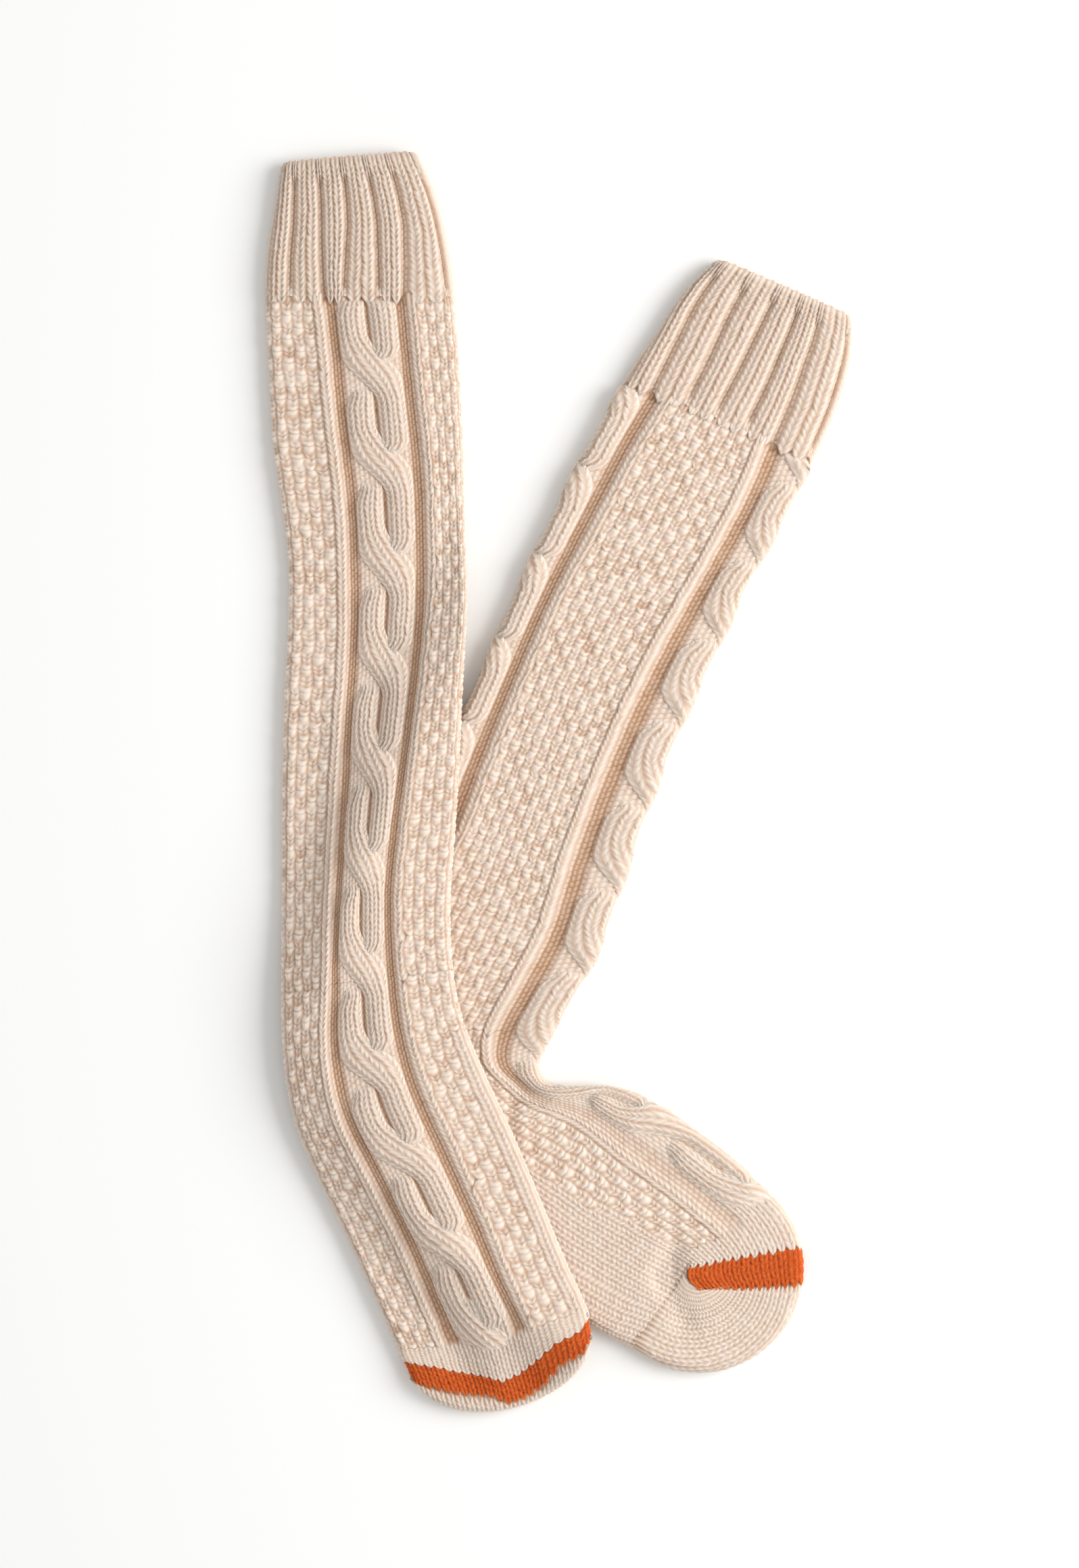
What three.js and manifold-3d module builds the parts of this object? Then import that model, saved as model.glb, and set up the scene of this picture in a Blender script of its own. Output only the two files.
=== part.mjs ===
// A pair of knee-high cable-knit socks, laid flat with one across the other.
// Units are millimetres, +Z is up and the cloth rests on z = 0.
// Each sock is a flattened knitted tube: a wall of even thickness, open at the cuff and closed at the toe.
import * as THREE from "three";
import { mergeVertices } from "three/addons/utils/BufferGeometryUtils.js";
import Module from "manifold-3d";

const wasm = await Module();
wasm.setup();

// Driving dimensions.
const wall = 3.6; // thickness of the knitted cloth
const edgeHeight = 8.8; // height of the folded side edges
const crown = 0.9; // extra height along the middle of a flat tube
const leastHollow = 1; // the panels never come nearer each other than this
const seamGap = 0.3; // space between the knitted zones
const restGap = 0.4; // space between the upper sock and the lower one
const ledge = 6; // how far past the lower sock's edge the upper sock stays up
const rampWidth = 34; // how far it then takes to come down to the floor
const arcSteps = 3; // facets from a side edge up to the flat of a panel
const flatSteps = 9; // facets across the flat of a panel
const above = 40; // height that is clear of all the cloth
const blockSteps = 24; // steps along the block that cuts out a contrast band
const tipSteps = 3; // facets along the flat of the toe, from the toe line to its rounded rim

const middle = edgeHeight / 2;

const table = (columns, rows) =>
  rows.map((row) => Object.fromEntries(columns.map((name, i) => [name, row[i]])));

const colours = { cream: 0xe6d3c3, orange: 0xc8541f };

// Section lines, from each sock's left edge to its right edge as seen from above, cuff first.
// The lower sock lies on its side, so its left edge is the back of the leg and then the sole.
const lowerSock = {
  name: "lower",
  bands: { cuff: 3, leg: 11, foot: 12 },
  sections: table(["at", "leftX", "leftY", "rightX", "rightY"], [
    ["rim", 68, 228, 128, 202],
    ["cuff", 54, 214, 127, 184],
    ["cuff", 41, 195, 121, 163],
    ["cuffEnd", 28, 175, 111, 140],
    ["calf", 14, 151, 99, 115],
    ["calf", -4, 116, 83, 86],
    ["calf", -19, 84, 69, 56],
    ["shin", -33, 52, 54, 24],
    ["shin", -48, 20, 41, -8],
    ["shin", -63, -12, 30, -40],
    ["ankle", -78, -44, 19, -71],
    ["ankle", -90, -74, 7, -94],
    ["legEnd", -96, -100, -3, -110],
    ["heel", -93, -124, -8, -120],
    ["heel", -82, -145, -7, -127],
    ["heel", -66, -165, -2, -131],
    ["foot", -49, -185, 8, -132],
    ["foot", -30, -203, 24, -132],
    ["foot", -10, -219, 41, -138],
    ["foot", 8, -232, 60, -151],
    ["foot", 22, -241, 77, -164],
    ["toeLine", 35, -248, 90, -176],
  ]),
  toeReach: 44,
  // Soft ridges (+) and troughs (-) in the upper panel.
  folds: table(["at", "fromX", "fromY", "toX", "toY", "spread", "lift"], [
    ["anklecrease", -2, -127, -20, -137, 5, -1.6],
    ["anklefold", 4, -137, -14, -146, 6, 1.6],
    ["toecorner", 40, -200, 47, -224, 8, -1.3],
    ["shindip", -34, -104, -44, -120, 12, -1.2],
  ]),
  // The contrast band runs from the toe pole to the front edge, on both panels.
  stripe: {
    path: table(["x", "y"], [
      [55, -212],
      [81, -211],
      [116, -208],
    ]),
    start: 6.6,
    end: 8.4,
    from: "floor",
  },
};

// The upper sock lies on its back panel, so its edges are its two sides.
const upperSock = {
  name: "upper",
  bands: { cuff: 3, leg: 12, foot: 9 },
  sections: table(["at", "leftX", "leftY", "rightX", "rightY"], [
    ["rim", -121, 269, -61, 274],
    ["cuff", -124, 251, -53, 254],
    ["cuff", -127, 231, -48, 233],
    ["cuffEnd", -128, 211, -45, 211],
    ["calf", -127, 187, -43, 187],
    ["calf", -125, 149, -41, 151],
    ["calf", -119, 105, -40, 108],
    ["shin", -118, 76, -39, 78],
    ["shin", -120, 35, -41, 36],
    ["shin", -121, -12, -43, -7],
    ["ankle", -121, -56, -46, -50],
    ["legEnd", -121, -91, -45, -80],
    ["heel", -120, -120, -40, -104],
    ["heel", -115, -148, -31, -126],
    ["foot", -105, -172, -19, -152],
    ["foot", -93, -197, -8, -178],
    ["foot", -81, -223, 3, -205],
    ["foot", -71, -245, 12, -225],
    ["toeLine", -66, -255, 14, -235],
  ]),
  toeReach: 28.1,
  folds: table(["at", "fromX", "fromY", "toX", "toY", "spread", "lift"], [
    ["toeridge", -40, -226, -21, -268, 8, 1.8],
    ["toedip", -47, -242, -36, -264, 7, -1.1],
    ["insteprise", -70, -130, -48, -215, 14, 0.8],
  ]),
  // Here the band crosses the whole upper panel, from one toe pole to the other.
  stripe: {
    path: table(["x", "y"], [
      [-76, -257],
      [-52, -258],
      [-38, -260],
      [-21, -264],
      [-4, -252],
      [12, -238],
      [20, -231],
    ]),
    start: 4.4,
    end: 4.4,
    from: "middle",
  },
};

const planned = (x, y) => new THREE.Vector3(x, y, 0);
const rowOf = (sock, name) => sock.sections.findIndex((row) => row.at === name);

function edgeCurves(sock) {
  const curve = (points) => new THREE.CatmullRomCurve3(points, false, "catmullrom", 0.5);
  return {
    left: curve(sock.sections.map((row) => planned(row.leftX, row.leftY))),
    right: curve(sock.sections.map((row) => planned(row.rightX, row.rightY))),
  };
}

// The section line at a fractional row number of the table.
function sectionAt(sock, row) {
  const t = row / (sock.sections.length - 1);
  const left = sock.edges.left.getPoint(t);
  const right = sock.edges.right.getPoint(t);
  const across = right.clone().sub(left);
  const width = across.length();
  across.normalize();
  return { left, right, across, width, ahead: new THREE.Vector3(across.y, -across.x, 0) };
}

// The sock's outline on the floor, toe included.
function outline(sock) {
  const steps = 60;
  const last = sock.sections.length - 1;
  const rows = Array.from({ length: steps + 1 }, (_, i) => sectionAt(sock, (last * i) / steps));
  const toe = rows[steps];
  const tip = [];
  const tipPoints = 16;
  for (let i = 1; i < tipPoints; i++) {
    const angle = (Math.PI * i) / tipPoints;
    const a = (toe.width / 2) * (1 - Math.cos(angle));
    tip.push(planPoint(toe, a, sock.toeReach * Math.sin(angle)));
  }
  return [...rows.map((r) => r.left), ...tip, ...rows.map((r) => r.right).reverse()];
}

function planPoint(section, a, ahead) {
  return section.left
    .clone()
    .addScaledVector(section.across, a)
    .addScaledVector(section.ahead, ahead);
}

function distanceToSegment(p, a, b) {
  const run = b.clone().sub(a);
  const along = THREE.MathUtils.clamp(p.clone().sub(a).dot(run) / run.lengthSq(), 0, 1);
  return p.distanceTo(a.clone().addScaledVector(run, along));
}

// How far a point lies outside a closed outline; zero inside it.
function distanceOutside(p, loop) {
  let inside = false;
  let best = Infinity;
  loop.forEach((a, i) => {
    const b = loop[(i + 1) % loop.length];
    best = Math.min(best, distanceToSegment(p, a, b));
    if (a.y > p.y !== b.y > p.y && p.x < a.x + ((b.x - a.x) * (p.y - a.y)) / (b.y - a.y)) {
      inside = !inside;
    }
  });
  return inside ? 0 : best;
}

// The height that carries a sock: the floor, or the lower sock and a ramp down from it.
function restHeight(sock, p) {
  if (!sock.liesOn) return 0;
  const top = edgeHeight + crown + restGap;
  const away = distanceOutside(p, sock.liesOn) - ledge;
  return top * (1 - THREE.MathUtils.smoothstep(away, 0, rampWidth));
}

// Heights of the upper panel's outer face above what carries the sock; side runs from -1 to 1 across it.
function panelHeight(sock, p, side, fade) {
  const lift = sock.folds.reduce((sum, fold) => {
    const away = distanceToSegment(p, planned(fold.fromX, fold.fromY), planned(fold.toX, fold.toY));
    return sum + fold.lift * Math.exp(-((away / fold.spread) ** 2));
  }, 0);
  const raised = (crown * (1 - side ** 2) + lift * (1 - side ** 4)) * fade;
  return Math.max(2 * wall + leastHollow, edgeHeight + raised);
}

// Places across a section: distance from the left edge, and the rise of the rounded edge there (0 to 1).
function placesAcross(width, inset) {
  const radius = middle - inset;
  const arc = Array.from({ length: arcSteps + 1 }, (_, k) => (k * Math.PI) / 2 / arcSteps);
  const left = arc.map((angle) => ({ a: inset + radius * (1 - Math.cos(angle)), rise: Math.sin(angle) }));
  const right = left.map(({ a, rise }) => ({ a: width - a, rise })).reverse();
  const flat = [];
  for (let k = 1; k < flatSteps; k++) {
    flat.push({ a: middle + ((width - 2 * middle) * k) / flatSteps, rise: 1 });
  }
  return [...left, ...flat, ...right];
}

// One face of the wall at a point: which is "top" or "under", and inset is 0 outside and wall inside.
function facePoint(sock, section, place, inset, which, ahead = 0, fade = 1) {
  const p = planPoint(section, place.a, ahead);
  const half = section.width / 2;
  const side = THREE.MathUtils.clamp((place.a - half) / (half - middle), -1, 1);
  const full = which === "top" ? panelHeight(sock, p, side, fade) - inset : inset;
  p.z = restHeight(sock, p) + middle + (full - middle) * place.rise;
  return p;
}

// A closed ring: along the top from left to right, then back underneath.
function ring(sock, row, inset) {
  const section = sectionAt(sock, row);
  const places = placesAcross(section.width, inset);
  const top = places.map((place) => facePoint(sock, section, place, inset, "top"));
  const under = places.map((place) => facePoint(sock, section, place, inset, "under")).reverse();
  return [...top, ...under];
}

// The toe: each place across the toe line sweeps forward, round the rim and back underneath.
function toeRows(sock, inset) {
  const section = sectionAt(sock, sock.sections.length - 1);
  const places = placesAcross(section.width, inset);
  const half = section.width / 2 - inset;
  const rows = [];
  const rimSteps = 2 * arcSteps;
  for (let k = 0; k <= 2 * tipSteps + rimSteps; k++) {
    rows.push(
      places.map((place) => {
        const off = Math.min(1, Math.abs(place.a - section.width / 2) / half);
        const reach = (sock.toeReach - inset) * Math.sqrt(1 - off ** 2);
        const rim = Math.min(reach, (middle - inset) * place.rise);
        const flat = reach - rim;
        if (k <= tipSteps) {
          const share = k / tipSteps;
          return facePoint(sock, section, place, inset, "top", flat * share, 1 - share ** 2);
        }
        if (k >= tipSteps + rimSteps) {
          const share = (2 * tipSteps + rimSteps - k) / tipSteps;
          return facePoint(sock, section, place, inset, "under", flat * share);
        }
        const angle = (Math.PI * (k - tipSteps)) / rimSteps;
        const p = planPoint(section, place.a, flat + rim * Math.sin(angle));
        p.z = restHeight(sock, p) + middle + (middle - inset) * place.rise * Math.cos(angle);
        return p;
      }),
    );
  }
  return rows;
}

// Collects triangles and leaves out those with no area.
class Skin {
  constructor() {
    this.numbers = [];
  }

  triangle(a, b, c) {
    const same = (p, q) => p.distanceToSquared(q) < 1e-8;
    if (same(a, b) || same(b, c) || same(a, c)) return;
    for (const p of [a, b, c]) this.numbers.push(p.x, p.y, p.z);
  }

  quad(a, b, c, d) {
    this.triangle(a, b, c);
    this.triangle(a, c, d);
  }

  // Joins two rows of points; a closed row runs round to its start.
  band(first, second, closed, flip) {
    const count = closed ? first.length : first.length - 1;
    for (let i = 0; i < count; i++) {
      const j = (i + 1) % first.length;
      const corners = [first[i], first[j], second[j], second[i]];
      if (flip) corners.reverse();
      this.quad(...corners);
    }
  }

  geometry() {
    const soup = new THREE.BufferGeometry();
    soup.setAttribute("position", new THREE.Float32BufferAttribute(this.numbers, 3));
    return mergeVertices(soup, 1e-4);
  }
}

// The wall between two rows of the table, open at both ends, or closed by the toe.
function tube(sock, fromRow, toRow, bands, withToe = false) {
  const skin = new Skin();
  const rows = Array.from({ length: bands + 1 }, (_, i) => fromRow + ((toRow - fromRow) * i) / bands);
  const outer = rows.map((row) => ring(sock, row, 0));
  const inner = rows.map((row) => ring(sock, row, wall));
  for (let i = 0; i < bands; i++) {
    skin.band(outer[i], outer[i + 1], true, true);
    skin.band(inner[i], inner[i + 1], true, false);
  }
  skin.band(outer[0], inner[0], true, false);
  if (withToe) {
    const caps = [toeRows(sock, 0), toeRows(sock, wall)];
    caps.forEach((cap, inside) => {
      for (let k = 0; k + 1 < cap.length; k++) skin.band(cap[k], cap[k + 1], false, !inside);
    });
  } else {
    skin.band(outer[bands], inner[bands], true, true);
  }
  return skin.geometry();
}

function toManifold(geometry) {
  return new wasm.Manifold(
    new wasm.Mesh({
      numProp: 3,
      vertProperties: geometry.getAttribute("position").array,
      triVerts: new Uint32Array(geometry.index.array),
    }),
  );
}

function toGeometry(solid) {
  const { numProp, numVert, vertProperties, triVerts } = solid.getMesh();
  const position = new Float32Array(numVert * 3);
  for (let i = 0; i < numVert; i++) {
    position.set(vertProperties.subarray(i * numProp, i * numProp + 3), i * 3);
  }
  const geometry = new THREE.BufferGeometry();
  geometry.setAttribute("position", new THREE.BufferAttribute(position, 3));
  geometry.setIndex(new THREE.BufferAttribute(triVerts, 1));
  return geometry;
}

// A block that follows the contrast band in plan and reaches from its floor to well above the cloth.
function stripeBlock(sock, grow) {
  const { path, start, end, from } = sock.stripe;
  const points = path.map(({ x, y }) => planned(x, y));
  const curve = new THREE.CatmullRomCurve3(points, false, "catmullrom", 0.5);
  const loops = Array.from({ length: blockSteps + 1 }, (_, i) => {
    const t = i / blockSteps;
    const centre = curve.getPoint(t);
    const run = curve.getTangent(t);
    if (i === 0) centre.addScaledVector(run, -grow);
    const side = new THREE.Vector3(-run.y, run.x, 0);
    const reach = THREE.MathUtils.lerp(start, end, t) + grow;
    const spots = [-1, 0, 1].map((s) => centre.clone().addScaledVector(side, s * reach));
    const floorOf = (p) => (from === "middle" ? restHeight(sock, p) + middle - grow : -above);
    const low = spots.map((p) => new THREE.Vector3(p.x, p.y, floorOf(p)));
    const high = spots.map((p) => new THREE.Vector3(p.x, p.y, above));
    return [...low, ...high.reverse()];
  });
  const skin = new Skin();
  for (let i = 0; i < blockSteps; i++) skin.band(loops[i], loops[i + 1], true, false);
  const close = ([a, b, c, d, e, f]) => {
    skin.quad(a, b, e, f);
    skin.quad(b, c, d, e);
  };
  close([...loops[0]].reverse());
  close(loops[blockSteps]);
  return toManifold(skin.geometry());
}

function named(sock, zone, geometry, colour) {
  const material = new THREE.MeshStandardMaterial({ color: colour, roughness: 0.95, metalness: 0 });
  const mesh = new THREE.Mesh(geometry, material);
  mesh.name = `${sock.name}_${zone}`;
  return mesh;
}

function buildSock(sock) {
  sock.edges = edgeCurves(sock);
  const cuffEnd = rowOf(sock, "cuffEnd");
  const legEnd = rowOf(sock, "legEnd");
  const toeLine = rowOf(sock, "toeLine");
  const rowLength = (row) => {
    const [near, far] = [sectionAt(sock, row), sectionAt(sock, row + 1)];
    return Math.min(near.left.distanceTo(far.left), near.right.distanceTo(far.right));
  };
  const afterCuff = cuffEnd + seamGap / rowLength(cuffEnd);
  const afterLeg = legEnd + seamGap / rowLength(legEnd);
  const foot = toManifold(tube(sock, afterLeg, toeLine, sock.bands.foot, true));
  const stripe = foot.intersect(stripeBlock(sock, 0));
  const group = new THREE.Group();
  group.add(
    named(sock, "cuff", tube(sock, 0, cuffEnd, sock.bands.cuff), colours.cream),
    named(sock, "leg", tube(sock, afterCuff, legEnd, sock.bands.leg), colours.cream),
    named(sock, "foot", toGeometry(foot.subtract(stripeBlock(sock, seamGap))), colours.cream),
    named(sock, "toe_stripe", toGeometry(stripe), colours.orange),
  );
  return group;
}

const pair = new THREE.Group();
pair.add(buildSock(lowerSock));
upperSock.liesOn = outline(lowerSock);
pair.add(buildSock(upperSock));

export default pair;
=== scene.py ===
import math

import bpy
import numpy as np
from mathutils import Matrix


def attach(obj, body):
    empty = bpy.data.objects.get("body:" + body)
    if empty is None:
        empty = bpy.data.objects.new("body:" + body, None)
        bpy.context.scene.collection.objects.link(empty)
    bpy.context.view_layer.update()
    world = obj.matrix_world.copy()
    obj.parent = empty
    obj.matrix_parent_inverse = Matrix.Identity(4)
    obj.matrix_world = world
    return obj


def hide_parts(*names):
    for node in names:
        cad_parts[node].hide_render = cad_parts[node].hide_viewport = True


# A pair of knee-high cable-knit wool socks, laid flat with one across the other.
# Tables are in millimetres, as the sock is laid: x to the right, y towards the cuffs.

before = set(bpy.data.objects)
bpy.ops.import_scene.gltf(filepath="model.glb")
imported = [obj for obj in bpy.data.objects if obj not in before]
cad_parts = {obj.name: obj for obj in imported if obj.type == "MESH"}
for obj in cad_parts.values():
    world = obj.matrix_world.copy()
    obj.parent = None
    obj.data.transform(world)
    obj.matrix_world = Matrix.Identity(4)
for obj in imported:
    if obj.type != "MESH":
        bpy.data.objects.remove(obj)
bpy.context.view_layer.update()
print("frame loaded")

mm = 0.001
random = np.random.default_rng(7)

clothForm = {
    "edgeHeight": 8.8,  # height of the folded side edges
    "crown": 0.9,
    "leastHeight": 7.7,
    "innerDepth": 3.6,  # from the outside of the cloth to its inside
    "sink": 0.55,  # how far the middle of the knitting lies below the plain form
    "restGap": 0.4,
    "ledge": 6.0,
    "rampWidth": 34.0,
    "floorGap": 0.12,
    "rowHeight": 2.55,  # one row of stitches
    "waleWidth": 3.9,  # one column of stitches
    "grain": 4,  # points to a stitch each way
    "relaxRows": 4,  # rows over which drawn-in gutters spread out again at the end of the pattern
}
middle = clothForm["edgeHeight"] / 2
quarterArc = middle * math.pi / 2
grain = clothForm["grain"]
tubeWales = 44  # columns of stitches round a leg; 0 is the back centre
halfTube = tubeWales // 2  # half of them, which is also the number of the front centre
leftWale, rightWale = halfTube // 2, 3 * halfTube // 2  # the two sides of the instep
laneWales = halfTube / 4  # from one place in the lane tables to the next

lowerSock = {
    "name": "lower",
    # at, left x, left y, right x, right y
    "sections": [
        ("rim", 68, 228, 128, 202),
        ("cuff", 54, 214, 127, 184),
        ("cuff", 41, 195, 121, 163),
        ("cuffEnd", 28, 175, 111, 140),
        ("calf", 14, 151, 99, 115),
        ("calf", -4, 116, 83, 86),
        ("calf", -19, 84, 69, 56),
        ("shin", -33, 52, 54, 24),
        ("shin", -48, 20, 41, -8),
        ("shin", -63, -12, 30, -40),
        ("ankle", -78, -44, 19, -71),
        ("ankle", -90, -74, 7, -94),
        ("legEnd", -96, -100, -3, -110),
        ("heel", -93, -124, -8, -120),
        ("heel", -82, -145, -7, -127),
        ("heel", -66, -165, -2, -131),
        ("foot", -49, -185, 8, -132),
        ("foot", -30, -203, 24, -132),
        ("foot", -10, -219, 41, -138),
        ("foot", 8, -232, 60, -151),
        ("foot", 22, -241, 77, -164),
        ("toeLine", 35, -248, 90, -176),
    ],
    "toeReach": 44,
    # from x, from y, to x, to y, spread, lift
    "folds": [
        (-2, -127, -20, -137, 5, -1.6),
        (4, -137, -14, -146, 6, 1.6),
        (50, -201, 46, -215, 5, -1.8),
        (46, -215, 54, -233, 6, -1.5),
        (59, -212, 63, -214, 6, 0.9),
        (-34, -104, -44, -120, 12, -1.2),
    ],
    # Where the wales run: section, then the place round the tube of wales 0, 5.5, 11 and so on.
    # Wale 0 is the back centre and 22 the front centre; place 0 is the left edge, 0.5 the right.
    "lanes": [
        (3.0, 0, 0.125, 0.239, 0.354, 0.5, 0.638, 0.759, 0.879, 1),
        (4.0, 0, 0.118, 0.242, 0.367, 0.5, 0.629, 0.76, 0.89, 1),
        (5.0, 0, 0.118, 0.242, 0.367, 0.5, 0.62, 0.762, 0.904, 1),
        (6.0, 0, 0.108, 0.229, 0.35, 0.5, 0.64, 0.777, 0.914, 1),
        (7.0, 0, 0.109, 0.226, 0.343, 0.5, 0.645, 0.777, 0.909, 1),
        (8.0, 0, 0.117, 0.231, 0.344, 0.5, 0.642, 0.771, 0.9, 1),
        (9.0, 0, 0.129, 0.236, 0.344, 0.5, 0.642, 0.762, 0.881, 1),
        (10.0, 0, 0.115, 0.237, 0.358, 0.5, 0.632, 0.758, 0.885, 1),
        (12.0, 0, 0.11, 0.228, 0.345, 0.5, 0.647, 0.768, 0.89, 1),
        (13.0, -0.005, 0.11, 0.236, 0.356, 0.497, 0.64, 0.765, 0.885, 0.995),
        (14.0, -0.01, 0.108, 0.24, 0.392, 0.492, 0.612, 0.745, 0.87, 0.99),
        (16.0, -0.02, 0.105, 0.23, 0.399, 0.475, 0.575, 0.715, 0.845, 0.98),
        (18.0, -0.03, 0.1, 0.22, 0.35, 0.452, 0.565, 0.7, 0.835, 0.97),
        (20.8, -0.01, 0.11, 0.222, 0.333, 0.449, 0.6, 0.778, 0.88, 0.99),
    ],
    "rowLine": 0.68,  # rows are evenly spaced along this line of the tube
    "evenTo": 18.0,  # and after this section there are so many rows to each further section
    "furtherRows": [(20.8, 22), (21.4, 4)],
    "stripe": (20.8, 21.4),
    "stripeWales": (11, 33),
    "stripeFlat": (0.106, 0.0135),
    "plainRows": 4,
    "mossNarrows": (17.5, 20.8, 1.9, 1.9),  # from section, to section, wales at the left, at the right
    "soleFrom": 13.0,
    "backCableTo": 12.5,
    "opens": (13.0, 16.0),  # where the gutters beside the front cable open out and grow shallow
    # Beyond section 18 the rows fan round the end of the stripe: section, x, y of the turning point.
    "knee": [(20.8, 57, -209), (21.4, 60.3, -219.8)],
    "kneeBulge": 3.0,
    "rightEdge": [(20.8, 22.27), (21.4, 22.96)],  # section, and the outline section at its right end
    # rows of the leg and foot, and how many cable strands have come up by then
    "crossings": ([-9.4, 6, 98.4, 137, 151.5, 166, 180.5], [-1, 0, 6, 8, 9, 10, 11]),
    # gutters between the cuff's ribs, across the top panel: section, then each gutter's place
    "gutters": [
        (0, 0.105, 0.285, 0.475, 0.625, 0.755, 0.955),
        (1.5, 0.131, 0.311, 0.472, 0.620, 0.748, 0.941),
        (3, 0.165, 0.334, 0.473, 0.627, 0.769, 0.952),
    ],
    "openGutters": (0, 4),
    "cupRows": 25,
}

upperSock = {
    "name": "upper",
    "sections": [
        ("rim", -121, 269, -61, 274),
        ("cuff", -124, 251, -53, 254),
        ("cuff", -127, 231, -48, 233),
        ("cuffEnd", -128, 211, -45, 211),
        ("calf", -127, 187, -43, 187),
        ("calf", -125, 149, -41, 151),
        ("calf", -119, 105, -40, 108),
        ("shin", -118, 76, -39, 78),
        ("shin", -120, 35, -41, 36),
        ("shin", -121, -12, -43, -7),
        ("ankle", -121, -56, -46, -50),
        ("legEnd", -121, -91, -45, -80),
        ("heel", -120, -120, -40, -104),
        ("heel", -115, -148, -31, -126),
        ("foot", -105, -172, -19, -152),
        ("foot", -93, -197, -8, -178),
        ("foot", -81, -223, 3, -205),
        ("foot", -71, -245, 12, -225),
        ("toeLine", -66, -255, 14, -235),
    ],
    "toeReach": 28.1,
    "folds": [
        (-40, -226, -21, -268, 8, 1.8),
        (-47, -242, -36, -264, 7, -1.1),
        (-70, -130, -48, -215, 14, 0.8),
        (-88, 20, -97, -80, 13, 2.2),
    ],
    "lanes": [
        (3.0, -0.25, -0.13, 0, 0.146, 0.264, 0.378, 0.5, 0.63, 0.75),
        (4.3, -0.25, -0.13, 0, 0.156, 0.272, 0.383, 0.5, 0.63, 0.75),
        (5.4, -0.25, -0.13, 0, 0.168, 0.283, 0.398, 0.5, 0.63, 0.75),
        (6.5, -0.25, -0.13, 0, 0.158, 0.277, 0.391, 0.5, 0.63, 0.75),
        (7.8, -0.25, -0.13, 0, 0.165, 0.27, 0.374, 0.5, 0.63, 0.75),
        (8.8, -0.25, -0.13, 0, 0.153, 0.253, 0.353, 0.5, 0.63, 0.75),
        (9.8, -0.25, -0.13, 0, 0.146, 0.24, 0.334, 0.5, 0.63, 0.75),
        (11.0, -0.25, -0.13, 0, 0.14, 0.241, 0.343, 0.5, 0.63, 0.75),
        (12.0, -0.25, -0.13, 0, 0.122, 0.233, 0.343, 0.5, 0.63, 0.75),
        (13.0, -0.25, -0.13, 0, 0.114, 0.228, 0.341, 0.5, 0.63, 0.75),
        (15.0, -0.25, -0.13, 0, 0.122, 0.23, 0.342, 0.5, 0.63, 0.75),
        (18.0, -0.25, -0.13, 0, 0.12, 0.232, 0.342, 0.5, 0.63, 0.75),
    ],
    "rowLine": 0.5,
    "evenTo": 17.05,
    "furtherRows": [(17.5, 7), (18.3, 4)],
    "stripe": (17.5, 18.3),
    "stripeWales": (10, 34),
    "stripeFlat": (0.096, 0.0105),
    "plainRows": 7,
    "mossNarrows": (11.5, 12.0, 0.8, 1.6),
    "soleFrom": 12.0,
    "backCableTo": 12.0,
    "crossings": ([-15.5, 0.5, 16.5, 32.4, 50, 66.5, 117.8, 150.6, 183.4], [-1, 0, 1, 2, 3, 4, 7, 9, 11]),
    "gutters": [
        (0, 0.137, 0.295, 0.453, 0.604, 0.755, 0.935),
        (1.5, 0.159, 0.313, 0.454, 0.614, 0.755, 0.947),
        (3, 0.155, 0.330, 0.420, 0.600, 0.718, 0.947),
    ],
    "openGutters": (1, 4),
    "cupRows": 18,
    # How the instep's rows bow forward at the toe, from the left edge to the right.
    "bow": {
        "across": [0, 0.18, 0.25, 0.39, 0.48, 0.58, 0.68, 0.80, 0.93, 1],
        "stripeStart": [0, 6.1, 9.2, 14.5, 18.5, 16.9, 12.5, 6.9, 4.4, 0],
        "stripeEnd": [0, 7.4, 9.9, 13.6, 18.9, 18.0, 14.8, 7.4, 4.8, 0],
        "sections": [15.3, 17.05, 17.5, 18.3],
        "patternShare": 0.3,
    },
}

# Where two pieces meet, one goes on a little way under the other.
joinPlan = {
    "tuckRows": 0.8,
    "tuckWales": 0.7,
    "cuffTuck": 0.6,  # how much lower it lies there
    "toeTuck": 1.1,
    "soleDrop": 0.3,
    "tipDrop": 0.6,
    "sideInset": 2.5,  # how far in the upper toe's sides end, under the stripe
    "sideRise": 0.9,  # how full they still are there
    # Rows or wales over which each tuck fades out, from the edge of the piece.
    "atCuff": (0.5, 1.7),
    "atTips": (0.3, 1.2),
    "atSole": (0.1, 1.1),
    "atStripe": (0.7, 1.6),
    "atUpperStripe": (1.0, 2.2),
    "atSides": (0.2, 1.4),
    "atUpperSides": (0, 1.2),
    "nearPole": (3, 12),
}

# How far the middle of each kind of stitch is drawn along the row, which makes it a V.
stitchLean = {
    "knit": 1.4,
    "plain": 0.8,
    "purl": -0.2,
    "highFirst": 0.3,
    "highLast": 0.3,
    "lowFirst": 0.5,
    "lowLast": 0.5,
}
leanAcross = np.array([0, 0.55, 1, 0.55])
kindLean = np.array(list(stitchLean.values()))
knit, plain, purl, highFirst, highLast, lowFirst, lowLast = range(7)


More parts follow.
